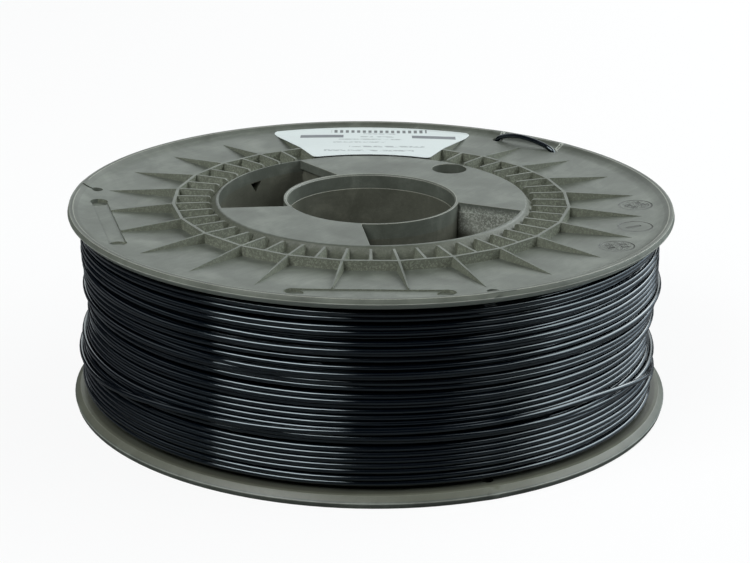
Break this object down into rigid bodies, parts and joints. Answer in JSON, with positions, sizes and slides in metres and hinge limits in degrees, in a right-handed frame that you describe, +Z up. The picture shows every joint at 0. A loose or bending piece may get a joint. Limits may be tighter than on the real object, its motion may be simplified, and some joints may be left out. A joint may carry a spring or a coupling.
{
  "type": "filament spool",
  "caption": "Grey flanged spool with ribbed sides, a windowed hub and a paper label, wound with black printer filament whose end is held in the upper flange.",
  "frame": {"origin": "on the bore's axis, at the underside that the spool rests on", "axes": "+Z up along the bore, +X through the drive hole and between the two windows"},
  "size_m": [0.2, 0.2, 0.0677],
  "materials": {
    "flange_plastic": "dark grey recycled plastic, finely textured, edges worn lighter",
    "hub_plastic": "the same dark grey plastic, moulded smooth inside",
    "filament": "black, evenly glossy",
    "label_paper": "white coated paper with plain grey bars"
  },
  "bodies": {
    "root": {"upper_flange": "flange_plastic", "lower_flange": "flange_plastic", "hub_core": "hub_plastic", "filament_inner_winding": "filament", "filament_outer_turns": "filament", "filament_tail": "filament", "label": "label_paper"}
  },
  "joints": []
}
